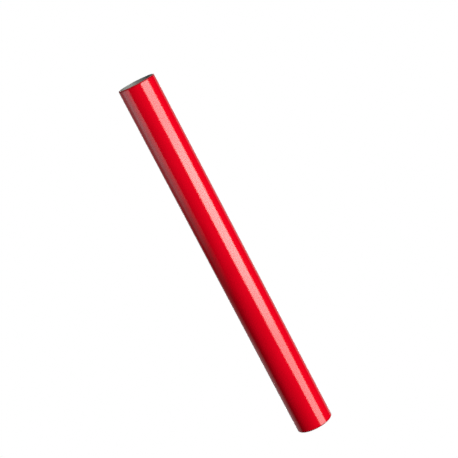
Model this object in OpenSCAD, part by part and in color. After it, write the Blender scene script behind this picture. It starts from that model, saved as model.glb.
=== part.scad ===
// Drawing tube: a spiral-wound board tube with a glossy cover paper and a press-in plug at each end.
// It stands on its bottom plug, with +Z along the tube and the origin under its middle.

/* [Tube] */
// Diameter of the bore that holds the rolled drawings
bore_d = 60; // [50:1:100]
// Length of the tube from rim to rim
overall_len = 650; // [450:5:1000]
// Radius of the pressed outer corner at each end of the tube
rim_round = 1.6; // [0.8:0.1:1.8]

/* [Wall plies] */
// Thickness of the white liner paper inside the tube
liner_t = 0.2; // [0.15:0.05:0.4]
// Thickness of each of the four grey board plies
board_ply_t = 0.42; // [0.35:0.01:0.6]
// Thickness of the film-laminated cover paper
cover_t = 0.12; // [0.08:0.02:0.2]

/* [End plugs] */
// Thickness of the head, the close-fitting band at the plug's face
head_t = 1.0; // [0.8:0.1:2]
// Depth of the plug below its head
plug_depth = 18; // [14:1:30]
// Thickness of the plug's skirt under its head
skirt_t = 1.2; // [1:0.1:2]
// Thickness of the plug's floor
floor_t = 1.2; // [1:0.1:2]
// Gap between the plug's skirt and the liner
skirt_gap = 0.4; // [0.3:0.05:0.6]
// Gap between the head or the crest of a grip rib and the liner
rib_gap = 0.08; // [0.05:0.01:0.1]
// Number of grip ribs round the skirt
rib_count = 3; // [2:1:4]

/* [Pull bar] */
// Thickness of the bar's web where it meets the floor
web_t = 2.4; // [1.6:0.2:4]
// Diameter of the bead along the bar's top, for the fingertips
bead_d = 4.4; // [3.2:0.2:6]
// How far the bead's top lies below the plug's face
bead_drop = 3; // [1:0.5:6]

/* [Hidden] */
$fn = 96;

// Wall, from the bore outwards
bore_r = bore_d / 2;
board_r = bore_r + liner_t;
cover_r = board_r + 4 * board_ply_t;
tube_r = cover_r + cover_t;
board_round = rim_round - cover_t;
board_low = cover_t;
board_high = overall_len - cover_t;

// Plug, in its own frame: z = 0 is the head's underside, and the skirt hangs below it
head_r = bore_r - rib_gap;
head_edge = 0.25;
skirt_r = bore_r - skirt_gap;
skirt_draft = 0.4;
rib_r = bore_r - rib_gap;
rib_ramp = 0.9;
rib_land = 0.5;
rib_first = 3.2;
rib_pitch = 4;
lead_in = 1.5;
recess_r = skirt_r - skirt_t;
recess_draft = 0.35;
recess_fillet = 1;
web_neck_t = 1.6;
bead_z = head_t - bead_drop - bead_d / 2;
web_foot_z = floor_t - plug_depth;
weld = 0.3;
arc_steps = 6;

// Radius of the skirt at height z, which is narrower towards the floor
function skirt_at(z) = skirt_r + skirt_draft * z / plug_depth;

// Points along an arc round (x, y), from angle a to angle b
function arc_points(x, y, r, a, b) =
    [for (i = [0 : arc_steps]) let (t = a + (b - a) * i / arc_steps) [x + r * cos(t), y + r * sin(t)]];

// One grip rib, with its ramp towards the floor and its square shoulder towards the head
function rib_points(i) =
    let (z = -rib_first - rib_pitch * i)
    [[skirt_at(z - rib_land - rib_ramp), z - rib_land - rib_ramp],
     [rib_r, z - rib_land],
     [rib_r, z],
     [skirt_at(z), z]];

// Right half of the board's section, from the bore out, with the outer corner of each end rounded
module board_section() {
    flat_r = tube_r - rim_round;
    translate([bore_r, board_low])
        square([flat_r - bore_r, board_high - board_low]);
    translate([flat_r - weld, board_low + board_round])
        square([board_round + weld, board_high - board_low - 2 * board_round]);
    for (z = [board_low + board_round, board_high - board_round])
        translate([flat_r, z])
            circle(board_round);
}

// One ply of the wall between two radii, rounded off with the rest of the rim
module ply(inner_r, outer_r) {
    rotate_extrude()
        intersection() {
            board_section();
            translate([inner_r, 0])
                square([outer_r - inner_r, overall_len]);
        }
}

// Board plies are counted from the liner outwards
module board_ply(number) {
    color("tan")
        ply(board_r + (number - 1) * board_ply_t, board_r + number * board_ply_t);
}

module liner_ply() {
    color("ivory")
        ply(bore_r, board_r);
}

module board_ply_1() {
    board_ply(1);
}

module board_ply_2() {
    board_ply(2);
}

module board_ply_3() {
    board_ply(3);
}

module board_ply_4() {
    board_ply(4);
}

// Quarter ring that the cover makes in section where it turns over the top rim
module cover_turn() {
    intersection() {
        difference() {
            circle(rim_round);
            circle(board_round);
        }
        square(rim_round);
    }
}

// The cover paper runs the whole length and follows the rounded corner onto both ends
module cover_paper() {
    color("crimson")
        rotate_extrude() {
            translate([cover_r, rim_round])
                square([cover_t, overall_len - 2 * rim_round]);
            translate([tube_r - rim_round, overall_len - rim_round])
                cover_turn();
            translate([tube_r - rim_round, rim_round])
                mirror([0, 1])
                    cover_turn();
        }
}

// Moulded cup, pressed in until its face is flush with the rim, drawn by its section from the floor's middle round the outside
module plug_cup() {
    foot_r = skirt_at(-plug_depth);
    recess_foot_r = recess_r - recess_draft;
    rotate_extrude()
        polygon(concat(
            [[0, -plug_depth], [foot_r - lead_in / 2, -plug_depth], [foot_r, -plug_depth + lead_in]],
            [for (i = [rib_count - 1 : -1 : 0]) each rib_points(i)],
            [[skirt_r, 0]],
            arc_points(head_r - head_edge, head_edge, head_edge, -90, 0),
            arc_points(head_r - head_edge, head_t - head_edge, head_edge, 0, 90),
            arc_points(recess_r + head_edge, head_t - head_edge, head_edge, 90, 180),
            arc_points(recess_foot_r - recess_fillet, web_foot_z + recess_fillet, recess_fillet, 0, -90),
            [[0, web_foot_z]]
        ));
}

// Bar across the recess: a tapered web with a round bead along its top
module pull_bar() {
    intersection() {
        rotate([90, 0, 90])
            linear_extrude(2 * tube_r, center = true) {
                polygon([[-web_t / 2, web_foot_z - weld], [web_t / 2, web_foot_z - weld],
                         [web_neck_t / 2, bead_z], [-web_neck_t / 2, bead_z]]);
                translate([0, bead_z])
                    circle(d = bead_d);
            }
        translate([0, 0, -plug_depth + weld])
            cylinder(r = recess_r + weld, h = plug_depth);
    }
}

module end_plug() {
    color("gray") {
        plug_cup();
        pull_bar();
    }
}

module top_plug() {
    translate([0, 0, overall_len - head_t])
        end_plug();
}

module bottom_plug() {
    translate([0, 0, head_t])
        mirror([0, 0, 1])
            end_plug();
}

liner_ply();
board_ply_1();
board_ply_2();
board_ply_3();
board_ply_4();
cover_paper();
top_plug();
bottom_plug();
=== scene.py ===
import math

import bpy
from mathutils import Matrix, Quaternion, Vector


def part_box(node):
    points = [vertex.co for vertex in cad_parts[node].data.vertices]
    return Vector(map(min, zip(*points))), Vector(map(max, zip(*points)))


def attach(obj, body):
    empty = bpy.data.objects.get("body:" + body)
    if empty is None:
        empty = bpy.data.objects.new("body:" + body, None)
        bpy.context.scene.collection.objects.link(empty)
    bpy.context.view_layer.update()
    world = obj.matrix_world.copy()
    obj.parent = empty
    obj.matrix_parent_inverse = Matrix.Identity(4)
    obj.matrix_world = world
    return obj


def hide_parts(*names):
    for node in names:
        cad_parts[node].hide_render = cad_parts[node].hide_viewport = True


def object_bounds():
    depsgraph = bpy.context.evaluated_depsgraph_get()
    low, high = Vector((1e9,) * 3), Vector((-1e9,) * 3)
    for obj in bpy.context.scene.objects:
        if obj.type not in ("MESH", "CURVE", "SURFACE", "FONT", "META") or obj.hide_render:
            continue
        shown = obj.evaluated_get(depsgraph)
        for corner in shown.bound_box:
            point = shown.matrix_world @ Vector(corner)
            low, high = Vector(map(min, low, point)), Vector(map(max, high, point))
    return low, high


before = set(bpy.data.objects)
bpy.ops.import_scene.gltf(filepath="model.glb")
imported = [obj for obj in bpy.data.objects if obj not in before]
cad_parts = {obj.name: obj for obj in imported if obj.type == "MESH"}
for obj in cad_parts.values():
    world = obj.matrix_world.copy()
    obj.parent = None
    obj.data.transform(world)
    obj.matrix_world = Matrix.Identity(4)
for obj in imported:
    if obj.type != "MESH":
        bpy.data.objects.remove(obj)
cad_low, cad_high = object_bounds()

# Camera: a long lens, nearly three and a half tube lengths away and a little above the tube's top,
# rolled over sideways so that the standing tube crosses the view from upper left to lower right.
tall = cad_high.z - cad_low.z
eye = Vector((0, -3.407 * tall, 1.306 * tall))
aim = Vector((0.0358 * tall, 0, 0.5646 * tall))
roll = math.radians(-27.62)
bpy.ops.object.camera_add(location=eye)
camera = bpy.context.object
camera.name = "camera"
camera.data.lens = 108.4
camera.data.sensor_width = 36
camera.rotation_mode = "QUATERNION"
camera.rotation_quaternion = (aim - eye).to_track_quat("-Z", "Y") @ Quaternion((0, 0, 1), roll)
bpy.context.scene.camera = camera


# Liner: the first paper strip on the mandrel, white and uncoated, wound in a helix with butted
# edges. It makes the smooth bore that the drawings slide in, and its ends are cut with the board's.
MM = 0.001
liner_low, liner_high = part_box("liner_ply")
board_low, board_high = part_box("board_ply_1")
liner_t = 0.2 * MM
bore_r = liner_high.x - liner_t
wind_pitch = 130 * MM
wind_start = 0.6
butt_gap = 0.25 * MM
steps_a_turn = 128
tiny = 0.01 * MM
wound_smooth = 20


def pick(kind, test):
    """In edit mode, selects only the vertices, edges or faces whose middle passes the test."""
    bpy.ops.mesh.select_mode(type=kind)
    bpy.ops.mesh.select_all(action="DESELECT")
    bpy.ops.object.mode_set(mode="OBJECT")
    mesh = bpy.context.object.data
    if kind == "VERT":
        for vertex in mesh.vertices:
            vertex.select = test(vertex.co)
    elif kind == "EDGE":
        for edge in mesh.edges:
            a, b = (mesh.vertices[i].co for i in edge.vertices)
            edge.select = test((a + b) / 2)
    else:
        for face in mesh.polygons:
            face.select = test(face.center)
    bpy.ops.object.mode_set(mode="EDIT")


def begin(name):
    """Names the new primitive, puts its place into its mesh and opens it for editing."""
    piece = bpy.context.object
    piece.name = name
    bpy.ops.object.transform_apply(location=True, rotation=True, scale=True)
    bpy.ops.object.mode_set(mode="EDIT")
    bpy.ops.mesh.select_all(action="SELECT")
    return piece


def close_up(smooth_below):
    """Merges doubles, turns the faces outwards and smooths the edges gentler than an angle."""
    bpy.ops.mesh.select_all(action="SELECT")
    bpy.ops.mesh.remove_doubles(threshold=0.002 * MM)
    bpy.ops.mesh.normals_make_consistent(inside=False)
    bpy.ops.object.mode_set(mode="OBJECT")
    bpy.ops.object.shade_smooth_by_angle(angle=math.radians(smooth_below))


def wind(name, inner_r, outer_r, low_z, high_z, start_turn):
    """Winds one strip round the tube, starting below it, and cuts both its ends square."""
    strip_w = wind_pitch - butt_gap
    spare_turns = 2
    turns = math.ceil((high_z - low_z) / wind_pitch) + spare_turns
    bpy.ops.mesh.primitive_plane_add(
        size=1,
        location=((inner_r + outer_r) / 2, 0, low_z - wind_pitch * wind_start),
        rotation=(math.pi / 2, 0, 0),
    )
    bpy.context.object.scale = (outer_r - inner_r, strip_w, 1)
    strip = begin(name)
    bpy.ops.mesh.delete(type="ONLY_FACE")
    bpy.ops.object.mode_set(mode="OBJECT")
    screw = strip.modifiers.new("wound", "SCREW")
    screw.axis = "Z"
    screw.angle = 2 * math.pi
    screw.screw_offset = wind_pitch
    screw.iterations = turns
    screw.steps = steps_a_turn
    screw.render_steps = steps_a_turn
    bpy.ops.object.modifier_apply(modifier="wound")
    bpy.ops.object.mode_set(mode="EDIT")
    bpy.ops.mesh.select_all(action="SELECT")
    bpy.ops.transform.rotate(
        value=-2 * math.pi * start_turn, orient_axis="Z", center_override=(0, 0, 0)
    )
    for end_z, outward in ((low_z, -1), (high_z, 1)):
        bpy.ops.mesh.select_all(action="SELECT")
        bpy.ops.mesh.bisect(
            plane_co=(0, 0, end_z), plane_no=(0, 0, outward), use_fill=True, clear_outer=True
        )
    close_up(wound_smooth)
    return strip


class Finish:
    """A material's nodes, laid out by short calls."""

    def __init__(self, name):
        self.material = bpy.data.materials.new(name)
        self.material.use_nodes = True
        self.nodes = self.material.node_tree.nodes
        self.links = self.material.node_tree.links
        self.shader = self.nodes["Principled BSDF"]
        self.place = self.nodes.new("ShaderNodeTexCoord").outputs["Object"]

    def set(self, **values):
        for name, value in values.items():
            self.shader.inputs[name.replace("_", " ")].default_value = value

    def node(self, kind, inputs=None, **settings):
        made = self.nodes.new("ShaderNode" + kind)
        for name, value in settings.items():
            setattr(made, name, value)
        for name, value in (inputs or {}).items():
            if isinstance(value, bpy.types.NodeSocket):
                self.links.new(value, made.inputs[name])
            else:
                made.inputs[name].default_value = value
        return made

    def math(self, operation, a, b=0.0):
        return self.node("Math", {0: a, 1: b}, operation=operation).outputs[0]

    def noise(self, scale, detail=4.0, stretch=(1, 1, 1), rough=0.5):
        spot = self.node("Mapping", {"Vector": self.place, "Scale": stretch}).outputs[0]
        return self.node(
            "TexNoise", {"Vector": spot, "Scale": scale, "Detail": detail, "Roughness": rough}
        ).outputs["Fac"]

    def ramp(self, factor, low, high, dark, light):
        made = self.node("MapRange", {0: factor, 1: low, 2: high, 3: dark, 4: light}, clamp=True)
        return made.outputs[0]

    def mix(self, factor, a, b):
        made = self.node("Mix", data_type="RGBA")
        for socket, value in zip((made.inputs[0], made.inputs[6], made.inputs[7]), (factor, a, b)):
            if isinstance(value, bpy.types.NodeSocket):
                self.links.new(value, socket)
            else:
                socket.default_value = value
        return made.outputs[2]

    def bump(self, height, strength, distance):
        made = self.node("Bump", {"Strength": strength, "Distance": distance, "Height": height})
        self.links.new(made.outputs[0], self.shader.inputs["Normal"])

    def feed(self, socket, value):
        self.links.new(value, self.shader.inputs[socket])


liner = wind("liner_ply_wound", bore_r, bore_r + liner_t, liner_low.z, liner_high.z, 0.0)
paper = Finish("liner_paper")
fibres = paper.noise(1100, 5)
cloud = paper.noise(34, 4, (1, 1, 0.6))
speck = paper.noise(2300, 2)
fibrous = paper.mix(
    paper.ramp(fibres, 0.3, 0.7, 0.0, 1.0), (0.735, 0.71, 0.65, 1), (0.80, 0.78, 0.73, 1)
)
clouded = paper.mix(paper.ramp(cloud, 0.35, 0.7, 0.0, 0.5), fibrous, (0.76, 0.725, 0.65, 1))
paper.feed("Base Color", paper.mix(
    paper.ramp(speck, 0.72, 0.78, 0.0, 0.35), clouded, (0.5, 0.44, 0.36, 1)
))
paper.feed("Roughness", paper.ramp(cloud, 0.3, 0.7, 0.74, 0.86))
paper.bump(fibres, 0.15, 0.04 * MM)
liner.data.materials.append(paper.material)
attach(liner, "tube")
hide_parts("liner_ply")


# Board plies: four grey board strips, wound over the liner one after another and glued.
# Their seams are staggered round the tube, and their ends follow the rounded rim under the cover.
cover_low, cover_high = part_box("cover_paper")
tube_r = cover_high.x
rim_round = 1.6 * MM
cover_t = 0.12 * MM
board_round = rim_round - cover_t
flat_r = tube_r - rim_round
ply_t = 0.42 * MM
stagger = 0.2


def grey_board(number):
    """Recycled grey board, with flecks and long fibres."""
    board = Finish(f"grey_board_{number}")
    fleck = board.noise(1400, 3)
    fibre = board.noise(260, 5, (1, 1, 0.25))
    mottled = board.mix(
        board.ramp(fibre, 0.3, 0.7, 0.0, 1.0),
        (0.30 + 0.02 * number, 0.245 + 0.018 * number, 0.18 + 0.014 * number, 1),
        (0.44, 0.375, 0.29, 1),
    )
    board.feed("Base Color", board.mix(
        board.ramp(fleck, 0.66, 0.72, 0.0, 0.7), mottled, (0.16, 0.13, 0.10, 1)
    ))
    board.feed("Roughness", board.ramp(fleck, 0.3, 0.7, 0.82, 0.95))
    board.bump(fibre, 0.4, 0.08 * MM)
    return board.material


for number in (1, 2, 3, 4):
    node = f"board_ply_{number}"
    ply_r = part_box(node)[1].x
    drop = board_round - math.sqrt(board_round**2 - max(0, ply_r - flat_r) ** 2)
    ply_ends = (board_low.z + drop, board_high.z - drop)
    ply = wind(node + "_wound", ply_r - ply_t, ply_r, *ply_ends, number * stagger)
    ply.data.materials.append(grey_board(number))
    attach(ply, "tube")
    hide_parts(node)


# Cover: red printed paper with a gloss film, wrapped once round the board and lapped over itself
# in one straight seam down the back. It follows the rounded rim at both ends.
lap_lift = 0.07 * MM
cover_r = tube_r - lap_lift
cover_steps = 240
cover_ends = (cover_low.z + lap_lift, cover_high.z - lap_lift)
lap_from, lap_to = math.radians(84), math.radians(102)
lip_r = flat_r + 0.02 * MM
bend = rim_round - 0.1 * MM
rim_reach = 0.5 * MM
seam_reach = math.radians(0.4)
seam_weld = 0.1 * MM


def angle_of(point):
    """The angle round the tube, from the camera's right."""
    return math.atan2(point.y, point.x)


bpy.ops.mesh.primitive_cylinder_add(
    vertices=cover_steps,
    radius=cover_r,
    depth=cover_ends[1] - cover_ends[0],
    end_fill_type="NOTHING",
    location=(0, 0, (cover_high.z + cover_low.z) / 2),
)
cover = begin("cover_paper_wrap")
for end_z in cover_ends:
    pick("EDGE", lambda p: abs(p.z - end_z) < tiny)
    bpy.ops.mesh.extrude_edges_move()
    shrink = lip_r / cover_r
    bpy.ops.transform.resize(value=(shrink, shrink, 1), center_override=(0, 0, end_z))
for end_z in cover_ends:
    pick("EDGE", lambda p: abs(p.z - end_z) < tiny and p.xy.length > tube_r - rim_reach)
    bpy.ops.mesh.bevel(offset=bend, segments=10, affect="EDGES")
# The lap stands off at its cut edge, and runs down into the cover at its other side
pick("FACE", lambda p: lap_from < angle_of(p) < lap_to)
bpy.ops.mesh.extrude_region_shrink_fatten(TRANSFORM_OT_shrink_fatten={"value": lap_lift})
pick("VERT", lambda p: abs(angle_of(p) - lap_to) < seam_reach)
bpy.ops.mesh.remove_doubles(threshold=seam_weld)
bpy.ops.mesh.select_all(action="SELECT")
bpy.ops.mesh.normals_make_consistent(inside=False)
bpy.ops.object.mode_set(mode="OBJECT")
thick = cover.modifiers.new("paper", "SOLIDIFY")
thick.thickness = cover_t
thick.offset = -1
bpy.ops.object.modifier_apply(modifier="paper")
bpy.ops.object.shade_smooth_by_angle(angle=math.radians(wound_smooth))

film = Finish("red_gloss_film")
axes = film.node("SeparateXYZ", {0: film.place})
turn = film.math("DIVIDE", film.math("ARCTAN2", axes.outputs[1], axes.outputs[0]), 2 * math.pi)
up = axes.outputs[2]


def beside(place, line, width):
    """1 on a line and 0 further from it than a width, in the units of the place."""
    gap = film.math("ABSOLUTE", film.math("SUBTRACT", place, line))
    return film.ramp(gap, width * 0.3, width, 1.0, 0.0)


# The last board strip's butted edge shows through as a very shallow groove that winds up the tube
groove_w = 1.6 * MM
climb = film.math("DIVIDE", film.math("SUBTRACT", up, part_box("board_ply_4")[0].z), wind_pitch)
along_strip = film.math("ADD", film.math("SUBTRACT", climb, turn), wind_start + 4 * stagger)
groove = beside(film.math("FRACT", along_strip), 0.5, groove_w / wind_pitch)
# White core of the paper at the lap's cut edge, and round both rims a painted shade that darkens the
# red, with rubbed film there
core_w = 0.3 * MM
lap_edge = beside(turn, lap_from / (2 * math.pi), core_w / (2 * math.pi * tube_r))
middle_z = (cad_low.z + cad_high.z) / 2
half_h = cover_high.z - middle_z
# The band round each rim carries both the painted shade and the rubbed film
shade_and_rub_from, shade_and_rub_full = 3.0 * MM, 1.2 * MM
from_middle = film.math("ABSOLUTE", film.math("SUBTRACT", up, middle_z))
near_rim = film.ramp(from_middle, half_h - shade_and_rub_from, half_h - shade_and_rub_full, 0.0, 1.0)
scuff = film.math("MULTIPLY", near_rim, film.ramp(film.noise(520, 5), 0.55, 0.72, 0.0, 0.45))
ink = film.noise(60, 3, (1, 1, 0.2))
print_red = film.mix(
    film.ramp(ink, 0.3, 0.7, 0.0, 1.0), (0.705, 0.0005, 0.0105, 1), (0.755, 0.001, 0.013, 1)
)
# Painted shade: the red is darkened towards both rims, standing in for shade on the rounded shoulder
# of the rim
painted_shade_rim_red = film.mix(film.math("MULTIPLY", near_rim, 0.75), print_red, (0.22, 0.003, 0.008, 1))
worn_and_shaded_red = film.mix(scuff, painted_shade_rim_red, (0.50, 0.07, 0.065, 1))
film.feed("Base Color", film.mix(
    film.math("MULTIPLY", lap_edge, 0.55), worn_and_shaded_red, (0.78, 0.55, 0.5, 1)
))
smear = film.ramp(film.noise(26, 5, (1, 1, 0.45)), 0.35, 0.7, 0.082, 0.112)
film.feed("Roughness", film.math("ADD", smear, film.math("MULTIPLY", scuff, 0.4)))
film.feed("Specular IOR Level", film.ramp(near_rim, 0.0, 1.0, 0.5, 0.12))
film.set(IOR=1.5)
orange_peel = film.noise(420, 2, (1, 1, 0.6))
relief = film.math(
    "SUBTRACT", film.math("MULTIPLY", orange_peel, 0.06), film.math("MULTIPLY", groove, 0.9)
)
film.bump(relief, 0.12, 0.03 * MM)
cover.data.materials.append(film.material)
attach(cover, "tube")
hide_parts("cover_paper")


# End plugs: two alike grey cups, each moulded in one piece from a soft plastic and pressed in by
# hand until the face is flush with the rim. Three barbed ribs grip the liner, and a bar with a
# round bead crosses the recess, so that fingertips can pull the plug out.
plug_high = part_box("top_plug")[1]
plug_steps = 192
moulded_smooth = 35
head_r = plug_high.x
head_t = 1.0 * MM
neck_z = plug_high.z - head_t
plug_depth = 18 * MM
skirt_gap, skirt_t, skirt_draft = 0.4 * MM, 1.2 * MM, 0.4 * MM
floor_t = 1.2 * MM
skirt_r = bore_r - skirt_gap
rib_gap = 0.08 * MM
rib_r = bore_r - rib_gap
rib_count = 3
rib_drop, rib_land, rib_ramp, rib_pitch = 3.2 * MM, 0.5 * MM, 0.9 * MM, 4.0 * MM
lead_in = 1.5 * MM
foot_r = skirt_r - skirt_draft - lead_in / 2
recess_draft = 0.35 * MM
recess_r = skirt_r - skirt_t
recess_foot_r = recess_r - recess_draft
recess_floor_z = neck_z - plug_depth + floor_t
dimple_r, dimple_floor_r, dimple_t = 3.2 * MM, 2.9 * MM, 0.35 * MM
sprue_r, sprue_tip_r, sprue_t = 0.9 * MM, 0.7 * MM, 0.3 * MM
face_round, neck_round, rib_round = 0.25 * MM, 0.15 * MM, 0.06 * MM
floor_round, foot_round = 1.0 * MM, 0.2 * MM


def skirt_at(drop):
    """The skirt's radius at a depth below the head."""
    return skirt_r - skirt_draft * drop / plug_depth


def lengthen(height):
    """Extrudes the selected faces along the tube by a height."""
    bpy.ops.mesh.extrude_region_move(TRANSFORM_OT_translate={"value": (0, 0, height)})


def widen(share):
    """Scales the selected faces across the pull bar."""
    bpy.ops.transform.resize(value=(1, share, 1), center_override=(0, 0, 0))


def grow(height, radius):
    """Extrudes the selected disc by a height, and scales it to a radius."""
    lengthen(height)
    piece = bpy.context.object
    piece.update_from_editmode()
    edge_r = max(vertex.co.xy.length for vertex in piece.data.vertices if vertex.select)
    bpy.ops.transform.resize(value=(radius / edge_r, radius / edge_r, 1), center_override=(0, 0, 0))


def round_ring(radius, at_z, offset, segments):
    """Bevels the ring of edges at a radius and a height."""
    pick("EDGE", lambda p: abs(p.z - at_z) < tiny and abs(p.xy.length - radius) < 3 * tiny)
    bpy.ops.mesh.bevel(offset=offset, segments=segments, affect="EDGES")


def combine(piece, other, operation):
    """Adds the other solid to the piece, or cuts it away, and removes it."""
    bpy.ops.object.select_all(action="DESELECT")
    bpy.context.view_layer.objects.active = piece
    piece.select_set(True)
    joint = piece.modifiers.new("combine", "BOOLEAN")
    joint.operation = operation
    joint.solver = "EXACT"
    joint.object = other
    bpy.ops.object.modifier_apply(modifier="combine")
    bpy.data.objects.remove(other)


bpy.ops.mesh.primitive_cylinder_add(
    vertices=plug_steps, radius=head_r, depth=head_t, location=(0, 0, neck_z + head_t / 2)
)
top_plug = begin("top_plug_moulding")
pick("FACE", lambda p: p.z < neck_z + tiny)
grow(0, skirt_r)
depth = 0
for rib in range(rib_count):
    shoulder = rib_drop + rib * rib_pitch
    grow(depth - shoulder, skirt_at(shoulder))
    grow(0, rib_r)
    grow(-rib_land, rib_r)
    depth = shoulder + rib_land + rib_ramp
    grow(-rib_ramp, skirt_at(depth))
grow(depth + lead_in - plug_depth, skirt_at(plug_depth - lead_in))
grow(-lead_in, foot_r)
# The sprue was cut off inside a small dimple under the floor
grow(0, dimple_r)
grow(dimple_t, dimple_floor_r)
grow(0, sprue_r)
grow(-sprue_t, sprue_tip_r)
pick("FACE", lambda p: p.z > plug_high.z - tiny)
grow(0, recess_r)
grow(recess_floor_z - plug_high.z, recess_foot_r)
round_ring(head_r, plug_high.z, face_round, 5)
round_ring(head_r, neck_z, neck_round, 3)
round_ring(recess_r, plug_high.z, face_round, 5)
round_ring(recess_foot_r, recess_floor_z, floor_round, 6)
round_ring(foot_r, neck_z - plug_depth, foot_round, 3)
for rib in range(rib_count):
    round_ring(rib_r, neck_z - rib_drop - rib * rib_pitch, rib_round, 2)
close_up(moulded_smooth)

# The pull bar's web is thinner at its top, and flares into the bead above and the floor below
bar_half_x = recess_r + 0.4 * MM
bead_r, bead_drop = 2.2 * MM, 3 * MM
bead_z = plug_high.z - bead_drop - bead_r
web_t, web_flare_h, web_foot_h, web_sink = 2.2 * MM, 1.0 * MM, 0.8 * MM, 0.3 * MM
web_low_z, web_high_z = recess_floor_z + web_foot_h, recess_floor_z + 10.0 * MM
web_bend = 0.75 * MM
bpy.ops.mesh.primitive_cube_add(size=1, location=(0, 0, (web_low_z + web_high_z) / 2))
bpy.context.object.scale = (2 * bar_half_x, web_t, web_high_z - web_low_z)
web = begin("pull_bar_web")
pick("FACE", lambda p: p.z > web_high_z - tiny)
widen(0.75)
lengthen(web_flare_h)
widen(1.9)
lengthen(bead_z - web_high_z - web_flare_h)
pick("FACE", lambda p: p.z < web_low_z + tiny)
lengthen(-web_foot_h)
widen(1.8)
lengthen(-web_sink)
for bend_z in (web_high_z, web_low_z):
    pick("EDGE", lambda p: abs(p.z - bend_z) < tiny and abs(p.x) < 1 * MM)
    bpy.ops.mesh.bevel(offset=web_bend, segments=5, affect="EDGES")
close_up(moulded_smooth)
bpy.ops.mesh.primitive_cylinder_add(
    vertices=64,
    radius=bead_r,
    depth=2 * bar_half_x,
    location=(0, 0, bead_z),
    rotation=(0, math.pi / 2, 0),
)
bead = begin("pull_bar_bead")
close_up(moulded_smooth)
combine(web, bead, "UNION")
combine(top_plug, web, "UNION")
# Four ejector pins left round marks in the recess's floor
pin_r, pin_h, pin_mark_t = 3 * MM, 2 * MM, 0.12 * MM
pin_x, pin_y = 14 * MM, 13 * MM
pin_z = recess_floor_z + pin_h / 2 - pin_mark_t
for x in (-pin_x, pin_x):
    for y in (-pin_y, pin_y):
        bpy.ops.mesh.primitive_cylinder_add(
            vertices=48, radius=pin_r, depth=pin_h, location=(x, y, pin_z)
        )
        ejector_pin = begin("ejector_pin")
        close_up(moulded_smooth)
        combine(top_plug, ejector_pin, "DIFFERENCE")
bpy.ops.object.mode_set(mode="EDIT")
close_up(moulded_smooth)

bpy.ops.object.duplicate(linked=False)
bottom_plug = bpy.context.object
bottom_plug.name = "bottom_plug_moulding"
bpy.ops.object.mode_set(mode="EDIT")
bpy.ops.mesh.select_all(action="SELECT")
bpy.ops.transform.resize(value=(1, 1, -1), center_override=(0, 0, middle_z))
close_up(moulded_smooth)

plastic = Finish("moulded_grey")
cloudy = plastic.noise(45, 3)
skin = plastic.noise(2600, 2)
turned = plastic.node(
    "TexWave",
    {
        "Vector": plastic.place,
        "Scale": 950.0,
        "Distortion": 1.5,
        "Detail": 2.0,
        "Detail Scale": 0.4,
    },
    wave_type="RINGS",
    rings_direction="Z",
).outputs["Fac"]
plastic.feed("Base Color", plastic.mix(
    plastic.ramp(cloudy, 0.3, 0.7, 0.0, 1.0), (0.140, 0.148, 0.137, 1), (0.165, 0.173, 0.160, 1)
))
plastic.feed("Roughness", plastic.math(
    "ADD", plastic.ramp(cloudy, 0.3, 0.7, 0.42, 0.50), plastic.math("MULTIPLY", skin, 0.08)
))
plastic.set(IOR=1.49, Specular_IOR_Level=0.35)
plastic.bump(plastic.math("ADD", skin, plastic.math("MULTIPLY", turned, 0.35)), 0.2, 0.015 * MM)
for piece, node in ((top_plug, "top_plug"), (bottom_plug, "bottom_plug")):
    piece.data.materials.append(plastic.material)
    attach(piece, node)
    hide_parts(node)


# Floor: a wide sheet of white acrylic, lit evenly from below, so that nothing on it throws a
# shadow. It gives no light to the tube and isn't seen in the gloss, so the red keeps its depth.
bpy.ops.mesh.primitive_plane_add(size=60, location=(0, 0, cad_low.z))
floor = bpy.context.object
floor.name = "floor"
floor.visible_glossy = False
floor.visible_diffuse = False
floor.visible_shadow = False
backlit = Finish("backlit_white")
backlit.set(Base_Color=(0, 0, 0, 1), Roughness=1, Emission_Color=(1, 1, 1, 1), Emission_Strength=1)
backlit.shader.inputs["Specular IOR Level"].default_value = 0
floor.data.materials.append(backlit.material)


# Studio light: two soft suns, a soft lamp at the left and one behind light the surfaces. Panels
# that show only in the gloss give the film its bright band in front and its paler edges.
sun_distance, panel_distance = 2, 1.2


def stand(name, kind, azimuth, elevation, distance):
    """A lamp that faces the tube's middle. Azimuth 0 is the camera's side, and 90 is its right."""
    a, e = math.radians(azimuth), math.radians(elevation)
    middle = Vector((0, 0, tall / 2))
    outward = Vector((math.sin(a) * math.cos(e), -math.cos(a) * math.cos(e), math.sin(e)))
    bpy.ops.object.light_add(type=kind, location=middle + distance * outward)
    lamp = bpy.context.object
    lamp.name = name
    lamp.rotation_mode = "QUATERNION"
    lamp.rotation_quaternion = (-outward).to_track_quat("-Z", "Y")
    lamp.visible_camera = False
    return lamp


def soft_sun(name, azimuth, elevation, strength, spread):
    """An even light from one side, softened over an angle, that isn't seen in the gloss."""
    lamp = stand(name, "SUN", azimuth, elevation, sun_distance)
    lamp.data.energy = strength
    lamp.data.angle = math.radians(spread)
    lamp.visible_glossy = False


def soft_lamp(name, azimuth, elevation, distance, size, power):
    """A square soft lamp that lights surfaces and isn't seen in the gloss."""
    lamp = stand(name, "AREA", azimuth, elevation, distance)
    lamp.data.size = size
    lamp.data.energy = power
    lamp.visible_glossy = False


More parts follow.
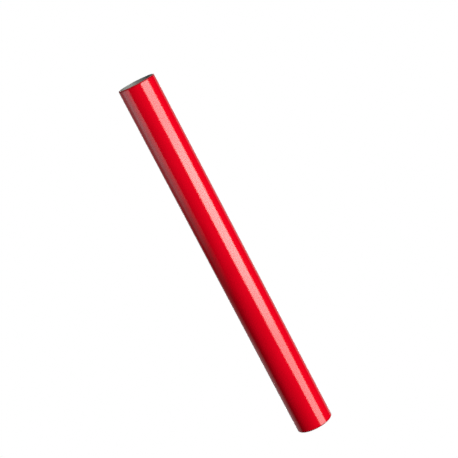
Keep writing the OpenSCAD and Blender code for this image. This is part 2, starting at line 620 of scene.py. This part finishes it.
def gloss_panel(name, sides, heights, radiance, tint, across, upward, squeeze=1.0):
    """An upright panel seen only in the gloss, between two azimuths and two heights.

    The stops across it and up it, each a place from 0 to 1 and a share, dim its radiance.
    A squeeze over 1 narrows what shines of its lower third, about a line up the panel.
    """
    squeeze_full, squeeze_none, squeeze_about = 0.31, 0.385, 0.53
    lamp = stand(name, "AREA", sum(sides) / 2, 0, panel_distance)
    lamp.location.z = sum(heights) / 2
    lamp.data.shape = "RECTANGLE"
    lamp.data.size = 2 * panel_distance * math.tan(math.radians(sides[1] - sides[0]) / 2)
    lamp.data.size_y = heights[1] - heights[0]
    lamp.data.color = tint
    lamp.data.energy = math.pi * radiance * lamp.data.size * lamp.data.size_y
    lamp.visible_diffuse = False
    lamp.data.use_nodes = True
    nodes, links = lamp.data.node_tree.nodes, lamp.data.node_tree.links
    place = nodes.new("ShaderNodeTexCoord")
    axes = nodes.new("ShaderNodeSeparateXYZ")
    links.new(place.outputs["UV"], axes.inputs[0])
    narrow = nodes.new("ShaderNodeMapRange")
    links.new(axes.outputs[1], narrow.inputs[0])
    for socket, value in zip(narrow.inputs[1:5], (squeeze_full, squeeze_none, squeeze, 1.0)):
        socket.default_value = value
    off_middle = nodes.new("ShaderNodeMath")
    off_middle.operation = "SUBTRACT"
    off_middle.inputs[1].default_value = squeeze_about
    links.new(axes.outputs[0], off_middle.inputs[0])
    sideways = nodes.new("ShaderNodeMath")
    sideways.operation = "MULTIPLY_ADD"
    sideways.inputs[2].default_value = squeeze_about
    links.new(off_middle.outputs[0], sideways.inputs[0])
    links.new(narrow.outputs[0], sideways.inputs[1])
    share = nodes.new("ShaderNodeMath")
    share.operation = "MULTIPLY"
    for axis, (spot_socket, stops) in enumerate(
        ((sideways.outputs[0], across), (axes.outputs[1], upward))
    ):
        ramp = nodes.new("ShaderNodeValToRGB")
        ramp.color_ramp.interpolation = "EASE"
        marks = ramp.color_ramp.elements
        while len(marks) < len(stops):
            marks.new(0.5)
        for mark, (spot, level) in zip(marks, stops):
            mark.position = spot
            mark.color = (level, level, level, 1)
        links.new(spot_socket, ramp.inputs[0])
        links.new(ramp.outputs[0], share.inputs[axis])
    links.new(share.outputs[0], nodes["Emission"].inputs["Strength"])


even = ((0, 1), (1, 1))
soft_sun("key", 41, 18, 4.2, 22)
soft_sun("overhead", -60, 68, 0.95, 50)
soft_lamp("left_fill", -80, 12, 1.0, 0.5, 1.65)
soft_lamp("back_fill", 180, 15, 2, 0.9, 36)
gloss_panel(
    "bright_band", (15, 76), (-1.2, 1.2), 10.5, (1, 1, 0.95),
    ((0, 0), (0.2, 1), (0.78, 1), (1, 0)),
    ((0.31, 0.62), (0.385, 0.56), (0.45, 0.78), (0.52, 0.96), (0.63, 1), (0.72, 0.74)),
    1.24,
)
gloss_panel(
    "left_edge", (-142, -57), (-0.1, 1.1), 1.9, (0.95, 0.95, 1),
    ((0, 0.1), (0.21, 0.14), (0.35, 0.33), (0.48, 0.92), (0.85, 0.95), (1, 0)),
    ((0, 0), (0.12, 0.07), (0.23, 0.25), (0.34, 0.54), (0.43, 0.8), (0.52, 0.97)),
)
gloss_panel(
    "low_left_edge", (-142, -100), (-1.0, 0.05), 0.52, (1, 0.9, 0.9),
    ((0, 1), (0.45, 0.85), (0.7, 0.55), (1, 0)), ((0, 1), (0.7, 1), (0.84, 0.5), (1, 0)),
)
gloss_panel(
    "back_edges", (126, 218), (-1.2, 1.2), 0.42, (1, 1, 1), ((0, 0.3), (0.15, 1), (1, 0.8)), even
)
gloss_panel(
    "back_band", (171, 189), (-1.2, 0.62), 6, (1, 1, 0.97), ((0, 0), (0.3, 1), (0.7, 1), (1, 0)), even
)

world = bpy.data.worlds.new("studio")
bpy.context.scene.world = world
world.use_nodes = True
world.node_tree.nodes["Background"].inputs["Color"].default_value = (1, 1, 1, 1)
world.node_tree.nodes["Background"].inputs["Strength"].default_value = 1.0
world.cycles_visibility.glossy = False
world.cycles_visibility.diffuse = False
bpy.context.scene.view_settings.view_transform = "Standard"
